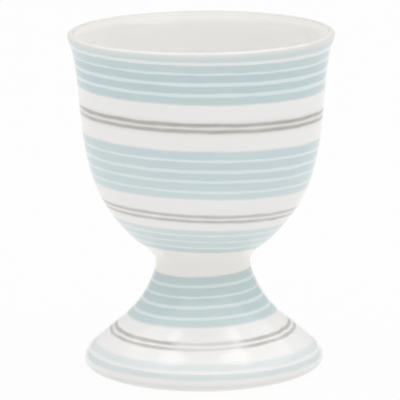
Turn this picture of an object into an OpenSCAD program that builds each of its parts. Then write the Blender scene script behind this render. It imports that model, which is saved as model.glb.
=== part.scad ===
// Footed porcelain egg cup with painted stripes
// The bowl and the foot are cast apart and stuck together at the waist with clay slip.
// The colour lies on both in closed rings, in groups of broad stripes and pairs of thin lines.

/* [Overall] */
// Height from the table to the top of the lip
cup_h = 65; // [62:0.5:70]

/* [Bowl] */
// Diameter of the bowl at its widest, just under the top of the lip
rim_d = 50.5; // [48:0.5:54]
// Thickness of the lip, which is fully rounded
lip_t = 1.5; // [1.2:0.1:2]
// Height over which the lip rounds over to the inside
lip_round_h = 2; // [1:0.25:3]
// Thickness of the bowl's wall below the lip
bowl_wall_t = 2.4; // [2:0.1:3]
// How far below the lip the wall reaches its full thickness
lip_taper_h = 20; // [12:1:28]
// Height of the inside floor over the joint
bowl_floor_t = 4.5; // [4:0.25:6]
// Height over which the inside floor rounds up into the wall
floor_round_h = 6; // [5:0.25:8]

/* [Foot] */
// Diameter of the foot at its widest
foot_d = 45.6; // [43:0.2:48]
// Height of the foot's widest edge over the table
foot_edge_h = 2.1; // [1.8:0.1:2.8]
// Outer diameter of the unglazed ring that the cup stands on
rest_ring_d = 36.6; // [35:0.2:38.6]
// Width of that ring
rest_ring_w = 2.2; // [1.8:0.1:2.6]
// Thickness of the foot's wall round the hollow underneath
foot_wall_t = 2.8; // [2.2:0.1:3.2]
// Thickness of the clay between the hollow and the joint
foot_roof_t = 3; // [2.5:0.25:4]
// Height over which the top of the hollow rounds over
roof_round_h = 5; // [4:0.25:7]

/* [Waist] */
// Height of the joint between the bowl and the foot
waist_h = 20.9; // [19.5:0.1:22.5]
// Diameter of the waist
waist_d = 18; // [16:0.2:21]
// Depth of the dished seat on the stem, which centres the bowl
seat_depth = 1; // [0.6:0.1:1.4]
// Thickness of the slip in the joint
slip_t = 0.3; // [0.2:0.05:0.5]

/* [Colour] */
// Thickness of the fired colour with the glaze over it
colour_t = 0.1; // [0.06:0.01:0.16]
// Number of stripes under the lip
rim_stripe_count = 5; // [3:1:6]
// Number of stripes round the belly
belly_stripe_count = 5; // [3:1:6]
// Number of stripes under the belly
lower_stripe_count = 4; // [2:1:5]
// Number of stripes on the stem
stem_stripe_count = 5; // [3:1:6]
// Number of stripes at the foot's edge
edge_stripe_count = 2; // [1:1:3]
// Number of thin lines in each group
line_count = 2; // [1:1:3]

/* [Hidden] */
$fn = 128;

// Stations up the bowl, each as shares of its height and of its growth from waist to rim
bowl_stations_shares = [[0, 0], [0.05, 0.08], [0.1, 0.24], [0.18, 0.44], [0.3, 0.645], [0.48, 0.795],
    [0.7, 0.87], [0.86, 0.91], [0.95, 0.955], [1, 1]];
// Stations up the foot, each as shares of its height over its edge and of its spread beyond the waist
foot_stations_shares = [[0, 1], [0.12, 0.93], [0.24, 0.755], [0.38, 0.52], [0.56, 0.275], [0.8, 0.08],
    [1, 0]];

// Bottom and top of each group, as shares of the bowl's height from joint to lip
rim_stripes_shares = [0.773, 0.989];
upper_lines_shares = [0.652, 0.694];
belly_stripes_shares = [0.36, 0.575];
lower_lines_shares = [0.25, 0.287];
lower_stripes_shares = [0.091, 0.21];
// Bottom and top of each group, as shares of the foot's height from table to joint
stem_stripes_shares = [0.525, 0.937];
foot_lines_shares = [0.357, 0.417];
foot_edge_stripes_shares = [0.136, 0.266];
// How much of a group's pitch the colour covers
stripe_cover_share = 0.7;
line_cover_share = 0.52;

// Steps along each stretch of an outline
bowl_steps = 36;
inner_steps = 20;
foot_steps = 18;
round_steps = 8;
lip_steps = 5;
seat_steps = 5;
// Steps crowd towards the waist, where the bowl curves most
crowding = 1.4;
// Half the height over which a skin's slope is measured
slope_probe_h = 0.25;
// Points closer than this to the end of a coloured ring are left out
least_edge_h = 0.02;

waist_r = waist_d / 2;
rim_r = rim_d / 2;
foot_r = foot_d / 2;
rest_ring_r = rest_ring_d / 2;
lip_r = lip_t / 2;
lip_z = cup_h - lip_r;
lip_centre_r = rim_r - lip_r;
seam_low_z = waist_h - slip_t / 2;
seam_high_z = waist_h + slip_t / 2;
floor_z = waist_h + bowl_floor_t;
roof_z = waist_h - seat_depth - foot_roof_t;

porcelain = "#f3f1ec";
pale_blue = "#bfd0d3";
warm_grey = "#b0aca3";
slip_white = "#e9e5dc";

// Outlines are lists of [height, radius], and polygons want them turned round
function turned(points) = [for (p = points) [p[1], p[0]]];
function reversed(points) = [for (i = [len(points) - 1:-1:0]) points[i]];

// A smooth curve through stations of [height, radius], upright at both ends
function rise(points, i) = (points[i + 1][1] - points[i][1]) / (points[i + 1][0] - points[i][0]);
function span(points, i) = points[i + 1][0] - points[i][0];
function station_slope(points, i) =
    i == 0 || i == len(points) - 1 ? 0
    : (rise(points, i - 1) * span(points, i) + rise(points, i) * span(points, i - 1))
        / (span(points, i - 1) + span(points, i));
function station_below(points, z, i = 0) =
    i == len(points) - 2 || z <= points[i + 1][0] ? i : station_below(points, z, i + 1);
function curve_r(points, z) =
    let (i = station_below(points, z), h = span(points, i))
    let (t = (z - points[i][0]) / h)
    let (leaving = station_slope(points, i) * h * t * (1 - t) * (1 - t))
    let (arriving = station_slope(points, i + 1) * h * t * t * (1 - t))
    points[i][1] + (points[i + 1][1] - points[i][1]) * eased(t) + leaving - arriving;
function eased(t) = t * t * (3 - 2 * t);
function curve_slope(points, z) =
    let (i = station_below(points, z), h = span(points, i))
    let (t = (z - points[i][0]) / h)
    rise(points, i) * 6 * t * (1 - t)
        + station_slope(points, i) * (1 - t) * (1 - 3 * t)
        + station_slope(points, i + 1) * t * (3 * t - 2);

// A quarter of an ellipse that leaves the table flat and ends upright
function quarter(low, high) =
    [for (i = [0:round_steps]) let (a = 90 * i / round_steps)
        [low[0] + (high[0] - low[0]) * (1 - cos(a)), low[1] + (high[1] - low[1]) * sin(a)]];

// The bowl's outside, from the joint to the top of the lip
bowl_stations = [for (s = bowl_stations_shares)
    [seam_high_z + s[0] * (lip_z - seam_high_z), waist_r + s[1] * (rim_r - waist_r)]];
bowl_curve = [for (i = [0:bowl_steps]) let (t = pow(i / bowl_steps, crowding))
    let (z = seam_high_z + t * (lip_z - seam_high_z)) [z, curve_r(bowl_stations, z)]];
lip_outside = [for (i = [1:lip_steps]) let (a = 90 * i / lip_steps)
    [lip_z + lip_r * sin(a), lip_centre_r + lip_r * cos(a)]];
bowl_skin = concat(bowl_curve, lip_outside);

// The foot's outside, from the table to the joint
foot_stations = [for (s = foot_stations_shares)
    [foot_edge_h + s[0] * (seam_low_z - foot_edge_h), waist_r + s[1] * (foot_r - waist_r)]];
foot_curve = [for (i = [1:foot_steps]) let (z = foot_edge_h + (seam_low_z - foot_edge_h) * i / foot_steps)
    [z, curve_r(foot_stations, z)]];
foot_skin = concat(quarter([0, rest_ring_r], [foot_edge_h, foot_r]), foot_curve);

// An inside wall lies a thickness in from the outside, measured square to it
function inset_r(stations, z, thickness) =
    let (slope = curve_slope(stations, z)) curve_r(stations, z) - thickness * sqrt(1 + slope * slope);
function bowl_wall_at(z) = lip_t + (bowl_wall_t - lip_t) * eased(min(1, (lip_z - z) / lip_taper_h));
function bowl_inner_r(z) = let (below = min(z, lip_z)) inset_r(bowl_stations, below, bowl_wall_at(below));

// The bowl's inside, from the top of the lip round over the edge and down to the middle of the floor
lip_round_z = cup_h - lip_round_h;
floor_round_z = floor_z + floor_round_h;
bowl_inside = concat(
    [for (i = [1:lip_steps]) let (a = 90 * i / lip_steps) let (z = lip_round_z + lip_round_h * cos(a))
        [z, bowl_inner_r(z) + lip_r * (1 - sin(a))]],
    [for (i = [1:inner_steps]) let (z = lip_round_z + (floor_round_z - lip_round_z) * i / inner_steps)
        [z, bowl_inner_r(z)]],
    [for (i = [round_steps - 1:-1:0]) let (a = 90 * i / round_steps)
        let (z = floor_z + floor_round_h * (1 - cos(a)))
        [z, bowl_inner_r(z) * sin(a)]]
);

hollow_edge_r = foot_r - foot_wall_t;
hollow_round_z = roof_z - roof_round_h;
foot_inside = concat(
    quarter([0, rest_ring_r - rest_ring_w], [foot_edge_h, hollow_edge_r]),
    [for (i = [1:round_steps]) let (z = foot_edge_h + (hollow_round_z - foot_edge_h) * i / round_steps)
        [z, inset_r(foot_stations, z, foot_wall_t)]],
    [for (i = [round_steps - 1:-1:0]) let (a = 90 * i / round_steps)
        let (z = roof_z - roof_round_h * (1 - cos(a)))
        [z, inset_r(foot_stations, z, foot_wall_t) * sin(a)]]
);

// The dished seat, from the axis out towards the waist, where it would be at height z
function seat(z, steps = seat_steps - 1) = [for (i = [0:steps]) let (share = i / seat_steps)
    [z - seat_depth * (1 - share * share), waist_r * share]];

// Distance along a skin from its lowest point, at each of its heights
function run_of(skin) =
    [for (i = 0, s = 0; i < len(skin);
        s = s + (i + 1 < len(skin) ? norm(skin[i + 1] - skin[i]) : 0), i = i + 1) [skin[i][0], s]];

// One coloured ring: its inner face follows the skin, its outer face stands off by its thickness
function skin_slope(skin, z) =
    (lookup(z + slope_probe_h, skin) - lookup(z - slope_probe_h, skin)) / (2 * slope_probe_h);
function raised(skin, point) =
    let (slope = skin_slope(skin, point[0]))
    let (reach = colour_t / sqrt(1 + slope * slope))
    [point[0] - reach * slope, point[1] + reach];
function ring_section(skin, low, high) =
    let (covered = [for (p = skin) if (p[0] > low + least_edge_h && p[0] < high - least_edge_h) p])
    let (inner = concat([[low, lookup(low, skin)]], covered, [[high, lookup(high, skin)]]))
    concat(inner, reversed([for (p = inner) raised(skin, p)]));

// A group of equal rings, spaced evenly along the skin between two heights
module ring_group(skin, low, high, count, cover_share) {
    run = run_of(skin);
    height_of = turned(run);
    start = lookup(low, run);
    pitch = (lookup(high, run) - start) / (count - 1 + cover_share);
    for (i = [0:count - 1]) {
        ring_start = start + i * pitch;
        ring_low = lookup(ring_start, height_of);
        ring_high = lookup(ring_start + cover_share * pitch, height_of);
        rotate_extrude() polygon(turned(ring_section(skin, ring_low, ring_high)));
    }
}
module bowl_rings(shares, count, cover_share) {
    bowl_h = cup_h - waist_h;
    ring_group(bowl_skin, waist_h + shares[0] * bowl_h, waist_h + shares[1] * bowl_h, count, cover_share);
}
module foot_rings(shares, count, cover_share) {
    ring_group(foot_skin, shares[0] * waist_h, shares[1] * waist_h, count, cover_share);
}

// Bowl with a rounded lip and a round floor, dished underneath to sit on the stem
module bowl() {
    color(porcelain) rotate_extrude()
        polygon(turned(concat(seat(seam_high_z), bowl_skin, bowl_inside)));
}

// Foot and stem in one casting, hollow underneath, standing on a flat unglazed ring
module foot() {
    color(porcelain) rotate_extrude()
        polygon(turned(concat(foot_skin, reversed(seat(seam_low_z)), reversed(foot_inside))));
}

// Layer of slip between the bowl and the stem
module slip_joint() {
    color(slip_white) rotate_extrude()
        polygon(turned(concat(seat(seam_low_z, seat_steps), reversed(seat(seam_high_z, seat_steps)))));
}

module rim_stripes() {
    color(pale_blue) bowl_rings(rim_stripes_shares, rim_stripe_count, stripe_cover_share);
}

module upper_lines() {
    color(warm_grey) bowl_rings(upper_lines_shares, line_count, line_cover_share);
}

module belly_stripes() {
    color(pale_blue) bowl_rings(belly_stripes_shares, belly_stripe_count, stripe_cover_share);
}

module lower_lines() {
    color(warm_grey) bowl_rings(lower_lines_shares, line_count, line_cover_share);
}

module lower_stripes() {
    color(pale_blue) bowl_rings(lower_stripes_shares, lower_stripe_count, stripe_cover_share);
}

module stem_stripes() {
    color(pale_blue) foot_rings(stem_stripes_shares, stem_stripe_count, stripe_cover_share);
}

module foot_lines() {
    color(warm_grey) foot_rings(foot_lines_shares, line_count, line_cover_share);
}

module foot_edge_stripes() {
    color(pale_blue) foot_rings(foot_edge_stripes_shares, edge_stripe_count, stripe_cover_share);
}

bowl();
foot();
slip_joint();
rim_stripes();
upper_lines();
belly_stripes();
lower_lines();
lower_stripes();
stem_stripes();
foot_lines();
foot_edge_stripes();
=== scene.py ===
import math
import bmesh
import bpy
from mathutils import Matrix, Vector


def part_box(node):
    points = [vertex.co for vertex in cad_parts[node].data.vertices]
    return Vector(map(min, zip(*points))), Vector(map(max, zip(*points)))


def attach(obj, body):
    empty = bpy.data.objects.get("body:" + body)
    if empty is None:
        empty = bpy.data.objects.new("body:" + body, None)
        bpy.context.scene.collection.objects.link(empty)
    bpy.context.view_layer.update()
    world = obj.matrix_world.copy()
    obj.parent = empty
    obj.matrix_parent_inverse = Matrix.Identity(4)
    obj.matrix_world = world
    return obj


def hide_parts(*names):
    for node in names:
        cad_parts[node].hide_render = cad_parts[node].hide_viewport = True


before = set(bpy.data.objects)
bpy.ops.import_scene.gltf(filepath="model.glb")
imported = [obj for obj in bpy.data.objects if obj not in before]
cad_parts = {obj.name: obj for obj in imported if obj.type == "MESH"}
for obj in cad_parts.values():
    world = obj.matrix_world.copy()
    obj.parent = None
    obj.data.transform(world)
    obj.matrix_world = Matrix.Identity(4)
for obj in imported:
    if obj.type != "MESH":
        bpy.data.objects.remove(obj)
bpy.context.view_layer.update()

mm = 0.001

# Sizes that the frame gives, in metres
bowlLow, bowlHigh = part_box("bowl")
footLow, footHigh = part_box("foot")
slipLow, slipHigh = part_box("slip_joint")
cupHeight = bowlHigh.z
rimRadius = (bowlHigh.x - bowlLow.x) / 2
footRadius = (footHigh.x - footLow.x) / 2
waistRadius = (slipHigh.x - slipLow.x) / 2
seamLow, seamHigh = footHigh.z, slipHigh.z
seatDepth = seamHigh - bowlLow.z


# Small helpers

def linearColour(hexCode):
    # sRGB hex to the linear values that Blender mixes
    channels = [int(hexCode[i:i + 2], 16) / 255 for i in (1, 3, 5)]
    return tuple(c / 12.92 if c <= 0.04045 else ((c + 0.055) / 1.055) ** 2.4 for c in channels) + (1.0,)


def feed(tree, node, inputs):
    # An input takes a value, the output socket that feeds it, or a node whose first enabled output does
    for key, value in inputs.items():
        if isinstance(value, bpy.types.Node):
            value = next(socket for socket in value.outputs if socket.enabled)
        if isinstance(value, bpy.types.NodeSocket):
            tree.links.new(value, node.inputs[key])
        else:
            node.inputs[key].default_value = value


def addNode(tree, kind, inputs=None, **settings):
    # One node with its settings and links
    node = tree.nodes.new(kind)
    for name, value in settings.items():
        setattr(node, name, value)
    feed(tree, node, inputs or {})
    return node


def newGeometryTree(name, sockets):
    tree = bpy.data.node_groups.new(name, "GeometryNodeTree")
    tree.interface.new_socket(name="Geometry", in_out="INPUT", socket_type="NodeSocketGeometry")
    for socketName, socketType in sockets:
        tree.interface.new_socket(name=socketName, in_out="INPUT", socket_type=socketType)
    tree.interface.new_socket(name="Geometry", in_out="OUTPUT", socket_type="NodeSocketGeometry")
    return tree


def makePlain(piece, tree, values):
    # Runs the tree on the piece and keeps the result as an ordinary mesh
    modifier = piece.modifiers.new(tree.name, "NODES")
    modifier.node_group = tree
    for item in tree.interface.items_tree:
        if item.in_out == "INPUT" and item.name in values:
            modifier[item.identifier] = values[item.name]
    depsgraph = bpy.context.evaluated_depsgraph_get()
    mesh = bpy.data.meshes.new_from_object(piece.evaluated_get(depsgraph))
    piece.modifiers.clear()
    piece.data = mesh
    mesh.name = piece.name
    faces = bmesh.new()
    faces.from_mesh(mesh)
    bmesh.ops.recalc_face_normals(faces, faces=faces.faces)
    faces.to_mesh(mesh)
    faces.free()
    print(piece.name, "has", len(mesh.polygons), "faces")
    return piece


def pointObject(name, points):
    mesh = bpy.data.meshes.new(name)
    mesh.from_pydata(points, [], [])
    piece = bpy.data.objects.new(name, mesh)
    bpy.context.scene.collection.objects.link(piece)
    return piece


def noteOnPoints(piece, name, values):
    # One number for each point of the piece, which nodes read by its name
    piece.data.attributes.new(name, "FLOAT", "POINT").data.foreach_set("value", values)


def eased(t):
    return t * t * (3 - 2 * t)


def easedBetween(ends, value):
    # 0 at the first end and 1 at the second
    return eased(min(1, max(0, (value - ends[0]) / (ends[1] - ends[0]))))


def smoothCurve(stations):
    # Cubic through stations of (height, radius), upright at both ends: gives radius and slope at a height
    spans = [b[0] - a[0] for a, b in zip(stations, stations[1:])]
    rises = [(b[1] - a[1]) / span for a, b, span in zip(stations, stations[1:], spans)]
    inner = [(rises[i] * spans[i + 1] + rises[i + 1] * spans[i]) / (spans[i] + spans[i + 1])
             for i in range(len(spans) - 1)]
    slopes = [0.0] + inner + [0.0]

    def at(height):
        i = 0
        while i < len(spans) - 1 and height > stations[i + 1][0]:
            i += 1
        t = (height - stations[i][0]) / spans[i]
        radius = (stations[i][1] + (stations[i + 1][1] - stations[i][1]) * eased(t)
                  + slopes[i] * spans[i] * t * (1 - t) ** 2 - slopes[i + 1] * spans[i] * t * t * (1 - t))
        slope = (rises[i] * 6 * t * (1 - t) + slopes[i] * (1 - t) * (1 - 3 * t)
                 + slopes[i + 1] * t * (3 * t - 2))
        return radius, slope
    return at


def insetRadius(curve, height, thickness):
    # Radius of an inside wall that lies a thickness in from the outside, square to it
    radius, slope = curve(height)
    return radius - thickness * math.sqrt(1 + slope * slope)


# Turned pieces: an outline of (radius, height) from the axis round to the axis again, spun about Z

turning = {
    "segments": 288,
    "weldWithin": 0.001 * mm,
    "cornerFrom": 40,         # degrees between two faces from which their edge stays crisp
}


def makeLatheTree():
    tree = newGeometryTree("turnedOutline", [
        ("Segments", "NodeSocketInt"), ("Glaze", "NodeSocketMaterial"),
        ("Bare Clay", "NodeSocketMaterial"), ("Bare Below", "NodeSocketFloat")])
    given = addNode(tree, "NodeGroupInput").outputs
    size = addNode(tree, "GeometryNodeAttributeDomainSize", {"Geometry": given["Geometry"]},
                   component="MESH").outputs["Point Count"]

    # A grid with the outline in each of its columns
    columns = addNode(tree, "ShaderNodeMath", {0: given["Segments"], 1: 1.0}, operation="ADD")
    grid = addNode(tree, "GeometryNodeMeshGrid", {"Vertices X": columns, "Vertices Y": size})
    index = addNode(tree, "GeometryNodeInputIndex")
    share = addNode(tree, "ShaderNodeMath", {0: index, 1: size}, operation="DIVIDE")
    column = addNode(tree, "ShaderNodeMath", {0: share}, operation="FLOOR")
    row = addNode(tree, "ShaderNodeMath", {0: index, 1: size}, operation="MODULO")
    place = addNode(tree, "GeometryNodeInputPosition")
    outline = addNode(tree, "GeometryNodeSampleIndex",
                      {"Geometry": given["Geometry"], "Value": place, "Index": row},
                      data_type="FLOAT_VECTOR", domain="POINT")

    # Each column is turned a step further, and the last one is welded to the first
    step = addNode(tree, "ShaderNodeMath", {0: math.tau, 1: given["Segments"]}, operation="DIVIDE")
    angle = addNode(tree, "ShaderNodeMath", {0: column, 1: step}, operation="MULTIPLY")
    spun = addNode(tree, "ShaderNodeVectorRotate",
                   {"Vector": outline, "Center": (0, 0, 0), "Angle": angle}, rotation_type="Z_AXIS")
    wall = addNode(tree, "GeometryNodeSetPosition", {"Geometry": grid, "Position": spun})
    closed = addNode(tree, "GeometryNodeMergeByDistance",
                     {"Geometry": wall, "Distance": turning["weldWithin"]})

    # The corners round the seat stay crisp, so that the seam doesn't shade the waist
    smooth = addNode(tree, "GeometryNodeSetShadeSmooth", {"Geometry": closed})
    bend = addNode(tree, "GeometryNodeInputMeshEdgeAngle").outputs["Unsigned Angle"]
    corner = addNode(tree, "FunctionNodeCompare", {0: bend, 1: math.radians(turning["cornerFrom"])},
                     data_type="FLOAT", operation="GREATER_THAN")
    crisp = addNode(tree, "GeometryNodeSetShadeSmooth",
                    {"Geometry": smooth, "Selection": corner, "Shade Smooth": False}, domain="EDGE")

    whole = addNode(tree, "GeometryNodeRealizeInstances", {"Geometry": crisp})
    glazed = addNode(tree, "GeometryNodeSetMaterial", {"Geometry": whole, "Material": given["Glaze"]})
    height = addNode(tree, "ShaderNodeSeparateXYZ", {0: place}).outputs["Z"]
    low = addNode(tree, "FunctionNodeCompare", {0: height, 1: given["Bare Below"]},
                  data_type="FLOAT", operation="LESS_THAN")
    bare = addNode(tree, "GeometryNodeSetMaterial",
                   {"Geometry": glazed, "Selection": low, "Material": given["Bare Clay"]})
    addNode(tree, "NodeGroupOutput", {"Geometry": bare})
    return tree


bowlShape = {
    # shares of the height from joint to lip, and of the growth from waist to rim
    "stations": [(0, 0), (0.05, 0.08), (0.1, 0.24), (0.18, 0.44), (0.3, 0.645), (0.48, 0.795),
                 (0.7, 0.87), (0.86, 0.91), (0.95, 0.955), (1, 1)],
    "lipThickness": 1.5 * mm,
    "lipRound": 2 * mm,       # height over which the lip rounds over to the inside
    "wallThickness": 2.4 * mm,
    "lipTaper": 20 * mm,      # depth over which the wall thickens below the lip
    "floorHeight": 4.5 * mm,  # inside floor over the joint
    "floorRound": 6 * mm,     # height over which the floor turns up into the wall
    "outsideSteps": 140,
    "insideSteps": 60,
    "roundSteps": 24,
    "lipSteps": 10,
    "crowding": 1.4,          # steps crowd towards the waist, where the bowl curves most
}

footShape = {
    # shares of the height over the widest edge, and of the spread beyond the waist
    "stations": [(0, 1), (0.12, 0.93), (0.24, 0.755), (0.38, 0.52), (0.56, 0.275), (0.8, 0.08), (1, 0)],
    "edgeHeight": 2.1 * mm,
    "ringRadius": 18.3 * mm,  # outside of the ring that the cup stands on
    "ringWidth": 2.2 * mm,
    "wallThickness": 2.8 * mm,
    "roofThickness": 3 * mm,
    "roofRound": 5 * mm,
    "bareBelow": 0.12 * mm,   # the glaze is wiped off below this height
    "steps": 60,
    "roundSteps": 14,
}

jointShape = {
    "steps": 8,
    "bead": 0.006 * mm,       # how far the slip stands out of the seam
}

# The two outside curves, as radius and slope at a height
lipRadius = bowlShape["lipThickness"] / 2
lipHeight = cupHeight - lipRadius
bowlCurve = smoothCurve([(seamHigh + a * (lipHeight - seamHigh),
                          waistRadius + b * (rimRadius - waistRadius)) for a, b in bowlShape["stations"]])
edgeHeight = footShape["edgeHeight"]
footCurve = smoothCurve([(edgeHeight + a * (seamLow - edgeHeight),
                          waistRadius + b * (footRadius - waistRadius)) for a, b in footShape["stations"]])


def outsideRadius(height):
    return (bowlCurve if height > seamHigh else footCurve)(height)[0]


def seatOutline(rimHeight):
    # The dished seat, from the axis out to the waist
    shares = [i / jointShape["steps"] for i in range(jointShape["steps"] + 1)]
    return [(waistRadius * s, rimHeight - seatDepth * (1 - s * s)) for s in shares]


def bowlOutline(shape):
    points = seatOutline(seamHigh)
    for i in range(1, shape["outsideSteps"] + 1):
        height = seamHigh + (i / shape["outsideSteps"]) ** shape["crowding"] * (lipHeight - seamHigh)
        points.append((bowlCurve(height)[0], height))
    for i in range(1, shape["lipSteps"] + 1):
        angle = math.pi / 2 * i / shape["lipSteps"]
        points.append((rimRadius - lipRadius + lipRadius * math.cos(angle),
                       lipHeight + lipRadius * math.sin(angle)))

    def innerRadius(height):
        height = min(height, lipHeight)
        depth = min(1, (lipHeight - height) / shape["lipTaper"])
        growth = shape["wallThickness"] - shape["lipThickness"]
        return insetRadius(bowlCurve, height, shape["lipThickness"] + growth * eased(depth))

    # The inside of the lip is rounded over a greater height, in twice as many steps
    lipRoundLow = cupHeight - shape["lipRound"]
    for i in range(1, 2 * shape["lipSteps"] + 1):
        angle = math.pi / 2 * i / (2 * shape["lipSteps"])
        height = lipRoundLow + shape["lipRound"] * math.cos(angle)
        points.append((innerRadius(height) + lipRadius * (1 - math.sin(angle)), height))
    floor = (seamLow + seamHigh) / 2 + shape["floorHeight"]
    floorRoundHigh = floor + shape["floorRound"]
    for i in range(1, shape["insideSteps"] + 1):
        height = lipRoundLow + (floorRoundHigh - lipRoundLow) * i / shape["insideSteps"]
        points.append((innerRadius(height), height))
    for i in range(shape["roundSteps"] - 1, -1, -1):
        angle = math.pi / 2 * i / shape["roundSteps"]
        height = floor + shape["floorRound"] * (1 - math.cos(angle))
        points.append((innerRadius(height) * math.sin(angle), height))
    return points


def quarterArc(low, high, steps):
    # Leaves the table flat at low and ends upright at high, both (radius, height)
    angles = [math.pi / 2 * i / steps for i in range(steps + 1)]
    return [(low[0] + (high[0] - low[0]) * math.sin(a), low[1] + (high[1] - low[1]) * (1 - math.cos(a)))
            for a in angles]


def footOutline(shape):
    edge, ring = shape["edgeHeight"], shape["ringRadius"]
    roof = (seamLow + seamHigh) / 2 - seatDepth - shape["roofThickness"]
    roundLow = roof - shape["roofRound"]
    outside = quarterArc((ring, 0), (footRadius, edge), shape["roundSteps"])
    for i in range(1, shape["steps"] + 1):
        height = edge + (seamLow - edge) * i / shape["steps"]
        outside.append((footCurve(height)[0], height))
    inside = quarterArc((ring - shape["ringWidth"], 0), (footRadius - shape["wallThickness"], edge),
                        shape["roundSteps"])
    for i in range(1, shape["steps"] // 2 + 1):
        height = edge + (roundLow - edge) * i / (shape["steps"] // 2)
        inside.append((insetRadius(footCurve, height, shape["wallThickness"]), height))
    for i in range(shape["roundSteps"] - 1, -1, -1):
        angle = math.pi / 2 * i / shape["roundSteps"]
        height = roof - shape["roofRound"] * (1 - math.cos(angle))
        inside.append((insetRadius(footCurve, height, shape["wallThickness"]) * math.sin(angle), height))
    return seatOutline(seamLow)[:-1] + outside[::-1] + inside


def slipOutline(shape):
    low, high = seatOutline(seamLow), seatOutline(seamHigh)
    bead = (waistRadius + shape["bead"], (seamLow + seamHigh) / 2)
    return low + [bead] + high[::-1]


def makeTurned(name, outline, tree, glaze, bareClay, bareBelow=-1.0):
    # bareBelow is a height in metres, and at its default, far under the table, nothing is left bare
    piece = pointObject(name, [(radius, 0, height) for radius, height in outline])
    return makePlain(piece, tree, {"Segments": turning["segments"], "Glaze": glaze,
                                   "Bare Clay": bareClay, "Bare Below": bareBelow})


# Rings of colour, each laid on a turned piece by casting rays at it from outside

ringWork = {
    "across": 16,             # faces round the section of one ring
    "shown": 0.75,            # share of them that shows; the others return below the surface
    "thickness": 0.012 * mm,  # fired colour with the glaze over it
    "sunk": 0.02 * mm,        # how far the edges and the underside lie below the surface
    "edgeRise": 40,           # how steeply the film rises to its full thickness
    "waviness": 0.5 * mm,     # whole swing of an edge at the rim, and less on a smaller ring
    "waves": 5.0,
    # how far apart in the noise the groups, the rings of a group and the edges of a ring take their waver
    "groupStep": 7.3, "ringStep": 1.7, "edgeStep": 0.6,
    "thinEnds": (0.8, 1.2),   # where the colour that a painted highlight lightened comes back, as shares of the arc's half width
    # where colour that ran into the glaze begins and where it is whole, inwards from a group's outer edges
    "ranFrom": {"tint": (0, 0.4 * mm), "haze": (-0.9 * mm, 0.2 * mm)},
    "lipLeftBare": 0.2 * mm,  # no ring climbs higher than this below the top of the lip
}

# What each ring brings with it: its edges, how far it leans sideways and to the front, where in the noise
# it takes its waver and how much of it, how much colour it holds, and how far its edges fade
ringNotes = ("low", "high", "sideLean", "frontLean", "shift", "swayShare", "strength", "fadeBelow",
             "fadeAbove")


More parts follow.
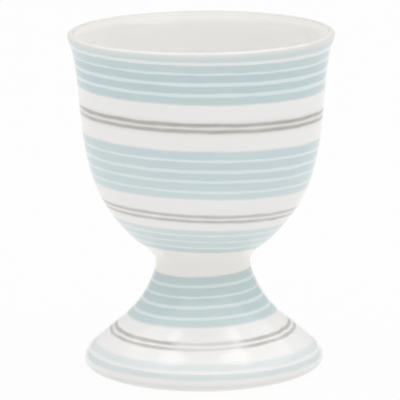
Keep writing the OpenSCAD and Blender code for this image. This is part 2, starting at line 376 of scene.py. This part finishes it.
def makeRingTree():
    tree = newGeometryTree("ringsOfColour", [
        ("Ware", "NodeSocketObject"), ("Segments", "NodeSocketInt"), ("Across", "NodeSocketInt"),
        ("Thickness", "NodeSocketFloat"), ("Sunk", "NodeSocketFloat"),
        ("Waviness", "NodeSocketFloat"), ("Waves", "NodeSocketFloat"), ("Seed", "NodeSocketFloat"),
        ("Thin", "NodeSocketFloat"), ("Thin At", "NodeSocketFloat"), ("Thin Reach", "NodeSocketFloat"),
        ("Highest", "NodeSocketFloat"), ("Reach", "NodeSocketFloat"), ("Colour", "NodeSocketMaterial")])
    given = addNode(tree, "NodeGroupInput").outputs
    ring = {}
    for name in ringNotes:
        note = addNode(tree, "GeometryNodeInputNamedAttribute", {"Name": name}, data_type="FLOAT")
        ring[name] = note.outputs["Attribute"]

    # A grid for each ring, 1 by 1 about its middle: X goes round the ring and Y round its section
    columns = addNode(tree, "ShaderNodeMath", {0: given["Segments"], 1: 1.0}, operation="ADD")
    rows = addNode(tree, "ShaderNodeMath", {0: given["Across"], 1: 1.0}, operation="ADD")
    grid = addNode(tree, "GeometryNodeMeshGrid", {"Vertices X": columns, "Vertices Y": rows})
    onPoints = addNode(tree, "GeometryNodeInstanceOnPoints",
                       {"Points": given["Geometry"], "Instance": grid})
    whole = addNode(tree, "GeometryNodeRealizeInstances", {"Geometry": onPoints})
    place = addNode(tree, "GeometryNodeInputPosition")
    fromCorner = addNode(tree, "ShaderNodeVectorMath", {0: place, 1: (0.5, 0.5, 0.0)}, operation="ADD")
    onGrid = addNode(tree, "ShaderNodeSeparateXYZ", {0: fromCorner}).outputs
    halfStep = addNode(tree, "ShaderNodeMath", {0: math.pi, 1: given["Segments"]}, operation="DIVIDE")
    angle = addNode(tree, "ShaderNodeMath", {0: onGrid["X"], 1: math.tau, 2: halfStep},
                    operation="MULTIPLY_ADD")
    cosine = addNode(tree, "ShaderNodeMath", {0: angle}, operation="COSINE")
    sine = addNode(tree, "ShaderNodeMath", {0: angle}, operation="SINE")
    outward = addNode(tree, "ShaderNodeCombineXYZ", {0: cosine, 1: sine})

    # The first part of the section goes over the face that shows, and the rest returns below it
    section, shown = onGrid["Y"], ringWork["shown"]
    going = addNode(tree, "ShaderNodeMath", {0: section, 1: shown}, operation="DIVIDE")
    left = addNode(tree, "ShaderNodeMath", {0: 1.0, 1: section}, operation="SUBTRACT")
    returning = addNode(tree, "ShaderNodeMath", {0: left, 1: 1 - shown}, operation="DIVIDE")
    overFace = addNode(tree, "ShaderNodeMath", {0: going, 1: returning}, operation="MINIMUM")
    showing = addNode(tree, "ShaderNodeMath", {0: section, 1: shown}, operation="LESS_THAN")

    # Steps crowd towards the two edges, where the film rises from just below the glaze
    halfTurn = addNode(tree, "ShaderNodeMath", {0: overFace, 1: math.pi}, operation="MULTIPLY")
    swing = addNode(tree, "ShaderNodeMath", {0: halfTurn}, operation="COSINE")
    across = addNode(tree, "ShaderNodeMath", {0: swing, 1: -0.5, 2: 0.5}, operation="MULTIPLY_ADD")
    other = addNode(tree, "ShaderNodeMath", {0: 1.0, 1: across}, operation="SUBTRACT")
    bulge = addNode(tree, "ShaderNodeMath", {0: across, 1: other}, operation="MULTIPLY")
    swell = addNode(tree, "ShaderNodeMath", {0: bulge, 1: ringWork["edgeRise"]}, operation="MULTIPLY",
                    use_clamp=True)
    face = addNode(tree, "ShaderNodeMath", {0: given["Thickness"], 1: given["Sunk"]}, operation="ADD")
    below = addNode(tree, "ShaderNodeMath", {0: given["Sunk"], 1: -1.0}, operation="MULTIPLY")
    rise = addNode(tree, "ShaderNodeMix", {"Factor": showing, "A": below, "B": face}, data_type="FLOAT")
    offset = addNode(tree, "ShaderNodeMath", {0: rise, 1: swell, 2: below}, operation="MULTIPLY_ADD")

    # Both edges lean as the hand laid them and waver a little
    toFront = addNode(tree, "ShaderNodeMath", {0: sine, 1: 1.0}, operation="ADD")
    forwards = addNode(tree, "ShaderNodeMath", {0: ring["frontLean"], 1: toFront}, operation="MULTIPLY")
    sideways = addNode(tree, "ShaderNodeMath", {0: ring["sideLean"], 1: cosine}, operation="MULTIPLY")
    lean = addNode(tree, "ShaderNodeMath", {0: forwards, 1: sideways}, operation="SUBTRACT")
    seed = addNode(tree, "ShaderNodeMath", {0: given["Seed"], 1: ringWork["groupStep"], 2: ring["shift"]},
                   operation="MULTIPLY_ADD")
    sway = addNode(tree, "ShaderNodeMath", {0: given["Waviness"], 1: ring["swayShare"]},
                   operation="MULTIPLY")
    inNoise = addNode(tree, "ShaderNodeVectorMath", {0: outward, "Scale": given["Waves"]},
                      operation="SCALE")
    edges = []
    for name, further in (("low", 0.0), ("high", ringWork["edgeStep"])):
        level = addNode(tree, "ShaderNodeMath", {0: seed, 1: further}, operation="ADD")
        raised = addNode(tree, "ShaderNodeCombineXYZ", {2: level})
        spot = addNode(tree, "ShaderNodeVectorMath", {0: inNoise, 1: raised}, operation="ADD")
        noise = addNode(tree, "ShaderNodeTexNoise", {"Vector": spot, "Scale": 1.0, "Detail": 2.0},
                        noise_dimensions="3D")
        waver = addNode(tree, "ShaderNodeMath", {0: noise, 1: 0.5}, operation="SUBTRACT")
        leaning = addNode(tree, "ShaderNodeMath", {0: ring[name], 1: lean}, operation="ADD")
        edges.append(addNode(tree, "ShaderNodeMath", {0: waver, 1: sway, 2: leaning},
                             operation="MULTIPLY_ADD"))

    # Colour reaches as far outside each edge as it fades inside it, but not over the lip
    lowEdge = addNode(tree, "ShaderNodeMath", {0: edges[0], 1: ring["fadeBelow"]}, operation="SUBTRACT")
    wanted = addNode(tree, "ShaderNodeMath", {0: edges[1], 1: ring["fadeAbove"]}, operation="ADD")
    highEdge = addNode(tree, "ShaderNodeMath", {0: wanted, 1: given["Highest"]}, operation="MINIMUM")
    height = addNode(tree, "ShaderNodeMix", {"Factor": across, "A": lowEdge, "B": highEdge},
                     data_type="FLOAT")

    # How deep a point lies inside its ring: 0 where a feathered edge begins, 1 where it ends
    span = addNode(tree, "ShaderNodeMath", {0: highEdge, 1: lowEdge}, operation="SUBTRACT")
    halfSpan = addNode(tree, "ShaderNodeMath", {0: span, 1: 0.5}, operation="MULTIPLY")
    depths = []
    for share, fade in ((across, "fadeBelow"), (other, "fadeAbove")):
        way = addNode(tree, "ShaderNodeMath", {0: share, 1: halfSpan}, operation="MULTIPLY")
        depths.append(addNode(tree, "ShaderNodeMath", {0: way, 1: ring[fade]}, operation="DIVIDE"))
    inside = addNode(tree, "ShaderNodeMath", {0: depths[0], 1: depths[1]}, operation="MINIMUM")

    # The colour may be lightened over one arc as a painted highlight, and comes back softly at both of its
    # ends
    fromMiddle = addNode(tree, "ShaderNodeMath", {0: angle, 1: given["Thin At"]}, operation="SUBTRACT")
    alike = addNode(tree, "ShaderNodeMath", {0: fromMiddle}, operation="COSINE")
    away = addNode(tree, "ShaderNodeMath", {0: alike}, operation="ARCCOSINE")
    ends = [addNode(tree, "ShaderNodeMath", {0: given["Thin Reach"], 1: share}, operation="MULTIPLY")
            for share in ringWork["thinEnds"]]
    least = addNode(tree, "ShaderNodeMath", {0: 1.0, 1: given["Thin"]}, operation="SUBTRACT")
    full = addNode(tree, "ShaderNodeMapRange",
                   {"Value": away, "From Min": ends[0], "From Max": ends[1], "To Min": least,
                    "To Max": 1.0}, interpolation_type="SMOOTHSTEP")
    strength = addNode(tree, "ShaderNodeMath", {0: ring["strength"], 1: full}, operation="MULTIPLY")

    # The ray comes in level from outside and stops on the ware
    outside = addNode(tree, "ShaderNodeVectorMath", {0: outward, "Scale": given["Reach"]},
                      operation="SCALE")
    up = addNode(tree, "ShaderNodeCombineXYZ", {2: height})
    start = addNode(tree, "ShaderNodeVectorMath", {0: outside, 1: up}, operation="ADD")
    inwards = addNode(tree, "ShaderNodeVectorMath", {0: outward, "Scale": -1.0}, operation="SCALE")
    ware = addNode(tree, "GeometryNodeObjectInfo", {"Object": given["Ware"]},
                   transform_space="ORIGINAL").outputs["Geometry"]
    hit = addNode(tree, "GeometryNodeRaycast",
                  {"Target Geometry": ware, "Source Position": start, "Ray Direction": inwards,
                   "Ray Length": given["Reach"]}).outputs
    standing = addNode(tree, "ShaderNodeVectorMath", {0: hit["Hit Normal"], "Scale": offset},
                       operation="SCALE")
    landed = addNode(tree, "ShaderNodeVectorMath", {0: hit["Hit Position"], 1: standing},
                     operation="ADD")
    marked = whole
    for name, value in (("inside", inside), ("strength", strength)):
        marked = addNode(tree, "GeometryNodeStoreNamedAttribute",
                         {"Geometry": marked, "Name": name, "Value": value},
                         data_type="FLOAT", domain="POINT")
    laid = addNode(tree, "GeometryNodeSetPosition", {"Geometry": marked, "Position": landed})
    closed = addNode(tree, "GeometryNodeMergeByDistance",
                     {"Geometry": laid, "Distance": turning["weldWithin"]})
    smooth = addNode(tree, "GeometryNodeSetShadeSmooth", {"Geometry": closed})
    coloured = addNode(tree, "GeometryNodeSetMaterial",
                       {"Geometry": smooth, "Material": given["Colour"]})
    addNode(tree, "NodeGroupOutput", {"Geometry": coloured})
    return tree


# Heights are read at the front, in mm from the top ring down: the widths and the gaps between them.
# Tilts are in degrees, at the top and the bottom of a group: sideways, and from the back to the front.
# Strength is how much colour each ring holds, and ran how much of it ran into the glaze between the rings;
# firstRan is that of the first gap where less ran into it.
# Feather is how far in mm the colour thins out to both sides of the edges between the rings, and fadeOut
# the same at the upper and the lower edge of the whole group.
# A painted highlight may lighten the colour over one arc: by how much, its middle and its half width in
# degrees from the front.
ringGroups = {
    "rim_stripes": {"top": 64.7, "widths": (1.5, 1.45, 1.4, 1.35, 1.5), "gaps": (0.65, 0.45, 0.7, 0.7),
                    "sideTilt": (0.75, 1.4), "frontTilt": (0.0, -0.3),
                    "feather": 0.14, "fadeOut": (0.62, 0.32),
                    "strength": (0.56, 0.74, 0.91, 0.9, 0.8), "ran": 0.78, "firstRan": 0.28, "seed": 1},
    "upper_lines": {"top": 51.55, "widths": (0.68, 0.68), "gaps": (0.5,),
                    "sideTilt": (1.6, 1.6), "frontTilt": (-0.7, -0.8),
                    "feather": 0.26, "fadeOut": (0.25, 0.25),
                    "strength": (0.94, 0.86), "ran": 0.95, "seed": 10},
    "belly_stripes": {"top": 46.25, "widths": (1.65, 1.5, 1.35, 1.5, 1.3), "gaps": (0.5, 0.65, 0.55, 0.5),
                      "sideTilt": (1.8, 2.2), "frontTilt": (-1.1, -1.3),
                      "feather": 0.16, "fadeOut": (0.36, 0.32),
                      "strength": (0.65, 0.67, 0.64, 0.58, 0.5), "ran": 0.7, "seed": 3},
    "lower_lines": {"top": 33.6, "widths": (0.65, 0.6), "gaps": (0.46,),
                    "sideTilt": (2.7, 2.7), "frontTilt": (-1.65, -1.65),
                    "feather": 0.24, "fadeOut": (0.24, 0.24),
                    "strength": (0.7, 0.71), "ran": 0.25, "seed": 4},
    "lower_stripes": {"top": 30.2, "widths": (1.0, 1.05, 1.1, 1.0), "gaps": (0.45, 0.3, 0.4),
                      "sideTilt": (2.5, 2.5), "frontTilt": (-1.2, -1.2),
                      "feather": 0.16, "fadeOut": (0.2, 0.16),
                      "strength": (0.42, 0.48, 0.49, 0.58), "ran": 0.52, "seed": 5},
    "stem_stripes": {"top": 19.6, "widths": (1.5, 1.4, 1.25, 1.3, 1.15), "gaps": (0.55, 0.4, 0.6, 0.5),
                     "sideTilt": (-1.95, -1.15), "frontTilt": (0.2, 0.2),
                     "feather": 0.14, "fadeOut": (0.22, 0.24),
                     "strength": (0.71, 0.77, 0.8, 0.77, 0.67), "ran": 0.74, "seed": 6},
    # the foot lines are lightened over the front by a painted highlight
    "foot_lines": {"top": 8.7, "widths": (0.5, 0.42), "gaps": (0.34,),
                   "sideTilt": (-0.45, -0.35), "frontTilt": (1.4, 1.4),
                   "feather": 0.2, "fadeOut": (0.18, 0.18),
                   "strength": (0.84, 0.78), "ran": 0.0, "seed": 7, "thin": (0.55, 3, 22)},
    "foot_edge_stripes": {"top": 5.5, "widths": (1.05, 1.0), "gaps": (0.58,),
                          "sideTilt": (0.3, 0.3), "frontTilt": (0.0, 0.0),
                          "feather": 0.2, "fadeOut": (0.3, 0.3),
                          "strength": (0.36, 0.48), "ran": 0.12, "seed": 8},
}


def isGrey(node):
    return node.endswith("lines")


def ringEdges(group):
    # Lower and upper edge of each ring of a group, from the top one down
    edges, height = [], group["top"] * mm
    for i, width in enumerate(group["widths"]):
        edges.append((height - width * mm, height))
        height -= width * mm + (group["gaps"][i] * mm if i < len(group["gaps"]) else 0)
    return edges


def leanOf(tilt, radius):
    # How far a ring that is tilted by so many degrees rises over its radius
    return math.tan(math.radians(tilt)) * radius


def makeRings(name, group, ware, tree, colour):
    edges = ringEdges(group)
    last = len(edges) - 1
    notes = []
    for i, (low, high) in enumerate(edges):
        middle = (low + high) / 2
        radius = outsideRadius(middle)
        share = (edges[0][1] - middle) / (edges[0][1] - edges[-1][0])
        side, front = [upper + (lower - upper) * share
                       for upper, lower in (group["sideTilt"], group["frontTilt"])]
        notes.append({"low": low, "high": high, "strength": group["strength"][i],
                      "sideLean": leanOf(side, radius), "frontLean": leanOf(front, radius),
                      "shift": ringWork["ringStep"] * i, "swayShare": radius / rimRadius,
                      "fadeAbove": (group["feather"] if i > 0 else group["fadeOut"][0]) * mm,
                      "fadeBelow": (group["feather"] if i < last else group["fadeOut"][1]) * mm})
    piece = pointObject(name, [(0, 0, 0)] * len(edges))
    for key in ringNotes:
        noteOnPoints(piece, key, [note[key] for note in notes])
    # A painted highlight that lightens the colour over an arc; by default none
    thin, thinAt, thinReach = group.get("thin", (0.0, 0.0, 1.0))
    return makePlain(piece, tree, {
        "Ware": ware, "Segments": turning["segments"], "Across": ringWork["across"],
        "Thickness": ringWork["thickness"], "Sunk": ringWork["sunk"],
        "Waviness": ringWork["waviness"], "Waves": ringWork["waves"], "Seed": float(group["seed"]),
        "Thin": thin, "Thin At": math.radians(thinAt - 90), "Thin Reach": math.radians(thinReach),
        "Highest": cupHeight - ringWork["lipLeftBare"], "Reach": 2 * rimRadius, "Colour": colour})


# How the glaze lies on the ware and took up the colours

# Painted light and shade on the ware, and the colours that ran into the glaze
paintedShading = {
    # heights in mm with the painted shading there: 0 darkest, as painted shade towards the foot's lower
    # edge and on the lip, 0.5 even, 1 whitest, as painted light over the foot's top and round the waist
    "depth": [(0.0, 0.0), (1.2, 0.13), (2.4, 0.45), (4.0, 0.5), (9.5, 0.58), (13.0, 0.55), (19.0, 0.75),
              (20.9, 0.8), (24.0, 0.92), (29.0, 0.5), (62.6, 0.5), (63.6, 0.4), (64.8, 0.06)],
    # the same on the inside of the lip: painted shade on its crest and on a band lower down, with a band of
    # painted light between them
    "lipInside": [(62.2, 0.5), (63.3, 0.28), (63.7, 0.33), (64.15, 0.92), (64.45, 0.92), (64.8, 0.06)],
    # how far the surface faces outwards where the outside gives way to the inside
    "turnsIn": (0.5, -0.1),
}


def paintedShadingAt(height, facing):
    insideLip = facing < 0 and height > paintedShading["lipInside"][0][0] * mm
    stops = [(at * mm, depth) for at, depth in paintedShading["lipInside" if insideLip else "depth"]]
    for (low, first), (high, last) in zip(stops, stops[1:]):
        if height < high:
            return first + (last - first) * easedBetween((low, high), height)
    return stops[-1][1]


def stainLimits(groups):
    # What ran into the glaze round each group: which colour, how much, and its two ends. An end is a height
    # at the front, which way from there is inwards, and how far it leans. The first gap has a limit of its
    # own, so that less may have run into it
    limits = []
    for node, group in groups.items():
        edges = ringEdges(group)
        stain = "haze" if isGrey(node) else "tint"
        for ran, first in ((group.get("firstRan", group["ran"]), 0), (group["ran"], 1)):
            ends = []
            for height, inwards, side, front in zip((edges[first][1], edges[-1][0]), (-1, 1),
                                                    group["sideTilt"], group["frontTilt"]):
                radius = outsideRadius(height)
                ends.append((height, inwards, leanOf(side, radius), leanOf(front, radius)))
            limits.append((stain, ran, ends))
    return limits


def markGlaze(ware, groups):
    # Notes at each vertex its painted shading by height, how far it faces inwards, for a painted light
    # inside the bowl, and how much of the blue (tint) and the grey (haze) it took up that ran in the
    # firing, which is on the outside only
    limits = stainLimits(groups)
    columns = {"depth": [], "within": [], "tint": [], "haze": []}
    for vertex in ware.data.vertices:
        x, y, z = vertex.co
        out = max(math.hypot(x, y), turning["weldWithin"])
        facing = (vertex.normal.x * x + vertex.normal.y * y) / out
        stains = {"tint": 0.0, "haze": 0.0}
        if facing > 0:
            for stain, share, ends in limits:
                for height, inwards, side, front in ends:
                    edge = height + front * (y / out + 1) - side * x / out
                    share *= easedBetween(ringWork["ranFrom"][stain], (z - edge) * inwards)
                stains[stain] = max(stains[stain], share)
        for stain, share in stains.items():
            columns[stain].append(share)
        columns["depth"].append(paintedShadingAt(z, facing))
        # How far the surface faces inwards, which carries a painted light over the inside of the bowl
        columns["within"].append(easedBetween(paintedShading["turnsIn"], facing))
    for name, values in columns.items():
        noteOnPoints(ware, name, values)


# Materials

def newMaterial(name):
    material = bpy.data.materials.new(name)
    material.use_nodes = True
    tree = material.node_tree
    place = addNode(tree, "ShaderNodeTexCoord").outputs["Object"]
    return material, tree, tree.nodes["Principled BSDF"], place


porcelain = {
    # an even white, a painted light inside the bowl, a grey for painted shade and a white for painted
    # light, which the clouds also bring out at random, and the blue and grey that ran into the glaze
    "even": "#F0EFEE", "within": "#F2F1EF", "cloudAndShadeGrey": "#DFDDD8", "cloudAndLightWhite": "#F9F6F0",
    "tinted": "#D8E6E9", "hazed": "#E3E2DF",
    "cloudSize": 9 * mm,      # unevenness of the glaze's depth, and how much of it
    "clouds": 0.2,
    "swellSize": 6 * mm,      # slow swells of the glaze's surface, their height and how much they count
    "swellHeight": 0.02 * mm,
    "swellStrength": 0.3,
    "roughness": 0.1,
    "ior": 1.5,
}


def bodyColour(tree, place):
    # The fired body under its glaze: painted light inside the bowl, a grey for painted shade and a white
    # for painted light by height, both also in random clouds, and tinted or hazed where blue or grey ran
    # into it. Each goes over the last
    lie = {name: addNode(tree, "ShaderNodeAttribute", attribute_name=name).outputs["Fac"]
           for name in ("depth", "within", "tint", "haze")}
    noise = addNode(tree, "ShaderNodeTexNoise",
                    {"Vector": place, "Scale": 1 / porcelain["cloudSize"], "Detail": 3.0})
    swing = porcelain["clouds"] / 2
    clouds = addNode(tree, "ShaderNodeMapRange", {"Value": noise, "To Min": -swing, "To Max": swing})
    # Random clouds go over the painted shading: below its middle the body greys as painted shade, above it
    # whitens as painted light
    depth = addNode(tree, "ShaderNodeMath", {0: lie["depth"], 1: clouds}, operation="ADD")
    cloudAndShade = addNode(tree, "ShaderNodeMapRange",
                      {"Value": depth, "From Max": 0.5, "To Min": 1.0, "To Max": 0.0})
    cloudAndLight = addNode(tree, "ShaderNodeMapRange", {"Value": depth, "From Min": 0.5})
    colour = linearColour(porcelain["even"])
    for factor, name in ((lie["within"], "within"), (cloudAndShade, "cloudAndShadeGrey"), (cloudAndLight, "cloudAndLightWhite"),
                         (lie["tint"], "tinted"), (lie["haze"], "hazed")):
        colour = addNode(tree, "ShaderNodeMix",
                         {"Factor": factor, "A": colour, "B": linearColour(porcelain[name])},
                         data_type="RGBA")
    return colour


def glazeOver(tree, shader, place, colour):
    # Clear gloss glaze over a colour. It was poured and set with slow swells, which bend its reflections
    swells = addNode(tree, "ShaderNodeTexNoise",
                     {"Vector": place, "Scale": 1 / porcelain["swellSize"], "Detail": 1.0})
    bump = addNode(tree, "ShaderNodeBump", {"Height": swells, "Strength": porcelain["swellStrength"],
                                            "Distance": porcelain["swellHeight"]})
    feed(tree, shader, {"Base Color": colour, "Normal": bump, "Roughness": porcelain["roughness"],
                        "IOR": porcelain["ior"]})


def makeGlazedPorcelain():
    # Slip-cast hard porcelain under a clear gloss glaze: a clean, faintly warm white with soft reflections
    material, tree, shader, place = newMaterial("glazedPorcelain")
    glazeOver(tree, shader, place, bodyColour(tree, place))
    return material


bareClay = {
    "light": "#E4DFD4", "dark": "#D3CDC0",
    "gritSize": 0.3 * mm, "gritHeight": 0.03 * mm, "gritStrength": 0.5,
    "roughness": 0.85,
}


def makeBarePorcelain():
    # The standing ring, wiped clean of glaze: dry, matt and slightly grey from handling
    material, tree, shader, place = newMaterial("barePorcelain")
    grit = addNode(tree, "ShaderNodeTexNoise",
                   {"Vector": place, "Scale": 1 / bareClay["gritSize"], "Detail": 4.0})
    mix = addNode(tree, "ShaderNodeMix", {"Factor": grit, "A": linearColour(bareClay["light"]),
                                          "B": linearColour(bareClay["dark"])}, data_type="RGBA")
    bump = addNode(tree, "ShaderNodeBump", {"Height": grit, "Strength": bareClay["gritStrength"],
                                            "Distance": bareClay["gritHeight"]})
    feed(tree, shader, {"Base Color": mix, "Normal": bump, "Roughness": bareClay["roughness"]})
    return material


ceramicColour = {
    "streakSize": 4 * mm,     # how long a streak is
    "streakFlatness": 5,      # how many times longer than high it is
    "streakRange": (0.3, 0.7),    # noise at which a streak is thinnest, and fullest
    "poolSize": 8 * mm,       # patches where the one or the other of two near colours shows
    "poolRange": (0.35, 0.65),    # noise at which the one shows alone, and the other
}


def makeCeramicColour(name, one, other, unevenness):
    # Ceramic colour under the glaze: brush-long streaks, and edges that thin out into the body
    material, tree, shader, place = newMaterial(name)
    flat = addNode(tree, "ShaderNodeMapping",
                   {"Vector": place, "Scale": (1, 1, ceramicColour["streakFlatness"])})
    streaks = addNode(tree, "ShaderNodeTexNoise",
                      {"Vector": flat, "Scale": 1 / ceramicColour["streakSize"], "Detail": 3.0})
    thinnest, fullest = ceramicColour["streakRange"]
    patch = addNode(tree, "ShaderNodeMapRange",
                    {"Value": streaks, "From Min": thinnest, "From Max": fullest,
                     "To Min": 1 - unevenness, "To Max": 1.0})
    pools = addNode(tree, "ShaderNodeTexNoise",
                    {"Vector": place, "Scale": 1 / ceramicColour["poolSize"], "Detail": 1.0})
    allOne, allOther = ceramicColour["poolRange"]
    hue = addNode(tree, "ShaderNodeMapRange", {"Value": pools, "From Min": allOne, "From Max": allOther})
    colour = addNode(tree, "ShaderNodeMix",
                     {"Factor": hue, "A": linearColour(one), "B": linearColour(other)}, data_type="RGBA")
    inside = addNode(tree, "ShaderNodeAttribute", attribute_name="inside").outputs["Fac"]
    strength = addNode(tree, "ShaderNodeAttribute", attribute_name="strength").outputs["Fac"]
    soft = addNode(tree, "ShaderNodeMapRange", {"Value": inside}, interpolation_type="SMOOTHSTEP")
    laid = addNode(tree, "ShaderNodeMath", {0: soft, 1: strength}, operation="MULTIPLY")
    covered = addNode(tree, "ShaderNodeMath", {0: laid, 1: patch}, operation="MULTIPLY")
    mix = addNode(tree, "ShaderNodeMix",
                  {"Factor": covered, "A": bodyColour(tree, place), "B": colour}, data_type="RGBA")
    glazeOver(tree, shader, place, mix)
    return material


slipFinish = {"light": "#F7F4EE", "warm": "#F4F1EA", "cloudSize": 3 * mm, "roughness": 0.2}


def makeFiredSlip():
    # Porcelain slip in the seam, glazed over with the rest and a shade warmer where it shrank
    material, tree, shader, place = newMaterial("firedSlip")
    clouds = addNode(tree, "ShaderNodeTexNoise",
                     {"Vector": place, "Scale": 1 / slipFinish["cloudSize"], "Detail": 2.0})
    mix = addNode(tree, "ShaderNodeMix", {"Factor": clouds, "A": linearColour(slipFinish["light"]),
                                          "B": linearColour(slipFinish["warm"])}, data_type="RGBA")
    feed(tree, shader, {"Base Color": mix, "Roughness": slipFinish["roughness"],
                        "IOR": porcelain["ior"]})
    return material


glazedPorcelain = makeGlazedPorcelain()
barePorcelain = makeBarePorcelain()
firedSlip = makeFiredSlip()
paleBlue = makeCeramicColour("paleBlueColour", "#BACDD1", "#BDD0CE", 0.1)
warmGrey = makeCeramicColour("warmGreyColour", "#A3A09A", "#A8A49D", 0.25)
print("materials ready")

# The pieces of the cup

latheTree = makeLatheTree()
bowl = makeTurned("glazed_bowl", bowlOutline(bowlShape), latheTree, glazedPorcelain, barePorcelain)
foot = makeTurned("glazed_foot", footOutline(footShape), latheTree, glazedPorcelain, barePorcelain,
                  footShape["bareBelow"])
slip = makeTurned("slip_seam", slipOutline(jointShape), latheTree, firedSlip, firedSlip)
markGlaze(bowl, ringGroups)
markGlaze(foot, ringGroups)
for piece, node, slotName in ((bowl, "bowl", "glazed_porcelain"), (foot, "foot", "glazed_porcelain"),
                              (slip, "slip_joint", "porcelain_slip")):
    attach(piece, "root")
    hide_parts(node)
print("turned pieces ready")

ringTree = makeRingTree()
for node, group in ringGroups.items():
    ware = bowl if group["top"] * mm > seamHigh else foot
    rings = makeRings(node + "_laid", group, ware, ringTree, warmGrey if isGrey(node) else paleBlue)
    markGlaze(rings, {node: group})
    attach(rings, "root")
    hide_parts(node)
print("rings ready")

# Floor, light and camera

studio = {
    # the camera: how far off it stands, its angles in degrees, and how far left of the axis it aims
    "distance": 754.8 * mm, "pitch": 11.76, "roll": 0.5, "aside": 0.47 * mm,
    # its focal length and half the picture's width in pixels, its sensor's width in mm, its near limit
    "focalPixels": 3974.8, "halfFrame": 200, "sensorWidth": 36, "nearest": 10 * mm,
    # the table: its width in metres, how brightly it glows and how much light it throws back
    "floorSize": 6.0, "floorGlow": 0.952, "floorTone": 0.03,
    # the shade under the foot: where it is whole, where it has gone, and what glow is left in it
    "shadeInner": 17 * mm, "shadeOuter": 20 * mm, "shadeGlow": 0.3,
    "worldStrength": 0.69,
    "overheadPanel": {"place": (0.15, 0, 1.2), "size": (2.4, 2.4), "radiance": 0.8},
    "softboxLeft": {"place": (-0.285, -0.012, 0.85), "size": (0.23, 0.16), "radiance": 1.6},
    "softboxRight": {"place": (0.29, 0.0, 0.85), "size": (0.27, 0.18), "radiance": 1.65},
}


def makeFloor():
    # A plain white table lit from below, as a shooting table is: even, but for the shade under the foot
    half = studio["floorSize"] / 2
    mesh = bpy.data.meshes.new("floor")
    mesh.from_pydata([(-half, -half, 0), (half, -half, 0), (half, half, 0), (-half, half, 0)], [],
                     [(0, 1, 2, 3)])
    floor = bpy.data.objects.new("floor", mesh)
    bpy.context.scene.collection.objects.link(floor)
    material, tree, shader, place = newMaterial("whiteTable")
    out = addNode(tree, "ShaderNodeVectorMath", {0: place}, operation="LENGTH")
    glow = addNode(tree, "ShaderNodeMapRange",
                   {"Value": out, "From Min": studio["shadeInner"], "From Max": studio["shadeOuter"],
                    "To Min": studio["shadeGlow"], "To Max": studio["floorGlow"]},
                   interpolation_type="SMOOTHSTEP")
    feed(tree, shader, {"Base Color": (studio["floorTone"],) * 3 + (1,), "Roughness": 1.0,
                        "Specular IOR Level": 0.0, "Emission Color": (1, 1, 1, 1),
                        "Emission Strength": glow})
    mesh.materials.append(material)


def makePanel(name):
    # A flat light that faces straight down and looks equally bright from everywhere below
    settings = studio[name]
    light = bpy.data.lights.new(name, "AREA")
    light.shape = "RECTANGLE"
    light.size, light.size_y = settings["size"]
    light.energy = settings["radiance"] * math.pi * light.size * light.size_y
    panel = bpy.data.objects.new(name, light)
    panel.location = settings["place"]
    bpy.context.scene.collection.objects.link(panel)


def makeCamera():
    camera = bpy.data.cameras.new("camera")
    camera.sensor_width = studio["sensorWidth"]
    camera.lens = camera.sensor_width / 2 * studio["focalPixels"] / studio["halfFrame"]
    camera.clip_start = studio["nearest"]
    holder = bpy.data.objects.new("camera", camera)
    pitch = math.radians(studio["pitch"])
    target = Vector((-studio["aside"], 0, cupHeight / 2))
    holder.location = target + Vector((0, -math.cos(pitch), math.sin(pitch))) * studio["distance"]
    holder.rotation_euler = (target - holder.location).to_track_quat("-Z", "Y").to_euler()
    holder.rotation_euler.rotate_axis("Z", math.radians(-studio["roll"]))
    bpy.context.scene.collection.objects.link(holder)
    bpy.context.scene.camera = holder


def makeWorld():
    world = bpy.data.worlds.new("studioWhite")
    world.use_nodes = True
    feed(world.node_tree, world.node_tree.nodes["Background"],
         {"Color": (1, 1, 1, 1), "Strength": studio["worldStrength"]})
    bpy.context.scene.world = world


makeFloor()
makeWorld()
for name in ("overheadPanel", "softboxLeft", "softboxRight"):
    makePanel(name)
makeCamera()
bpy.context.scene.view_settings.view_transform = "Standard"
print("studio ready")
